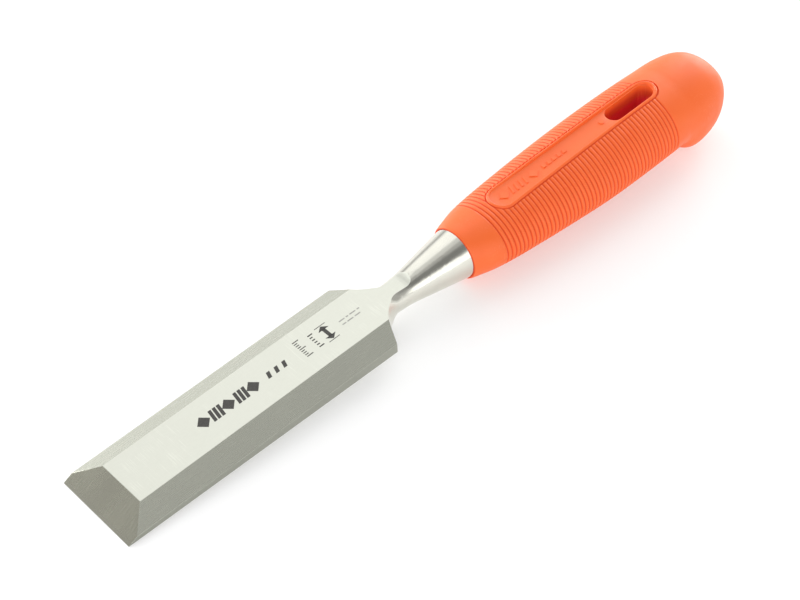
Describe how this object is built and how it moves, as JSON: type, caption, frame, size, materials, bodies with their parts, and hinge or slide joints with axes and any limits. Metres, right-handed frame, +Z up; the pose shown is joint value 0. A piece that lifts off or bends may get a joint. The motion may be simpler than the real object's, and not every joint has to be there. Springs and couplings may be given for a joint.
{
  "type": "bench chisel",
  "caption": "Bevel-edged bench chisel with a flat-backed steel blade, conical bolster and ring-ribbed moulded plastic handle with a hanging slot.",
  "frame": {"origin": "middle of the underside of the whole tool, on the surface that it lies on", "axes": "+X from the cutting edge to the striking end, +Y across the blade, +Z up, away from the blade's flat back. The tool lies at rest on its cutting edge and the heel of its handle, so the blade's back rises towards the handle at 3.07 degrees"},
  "size_m": [0.263, 0.033, 0.0298],
  "materials": {
    "blade_steel": "ground blade with a mirror-polished bolster",
    "handle_plastic": "satin moulded polypropylene, orange"
  },
  "bodies": {
    "root": {"blade": "blade_steel", "handle": "handle_plastic"}
  },
  "joints": []
}
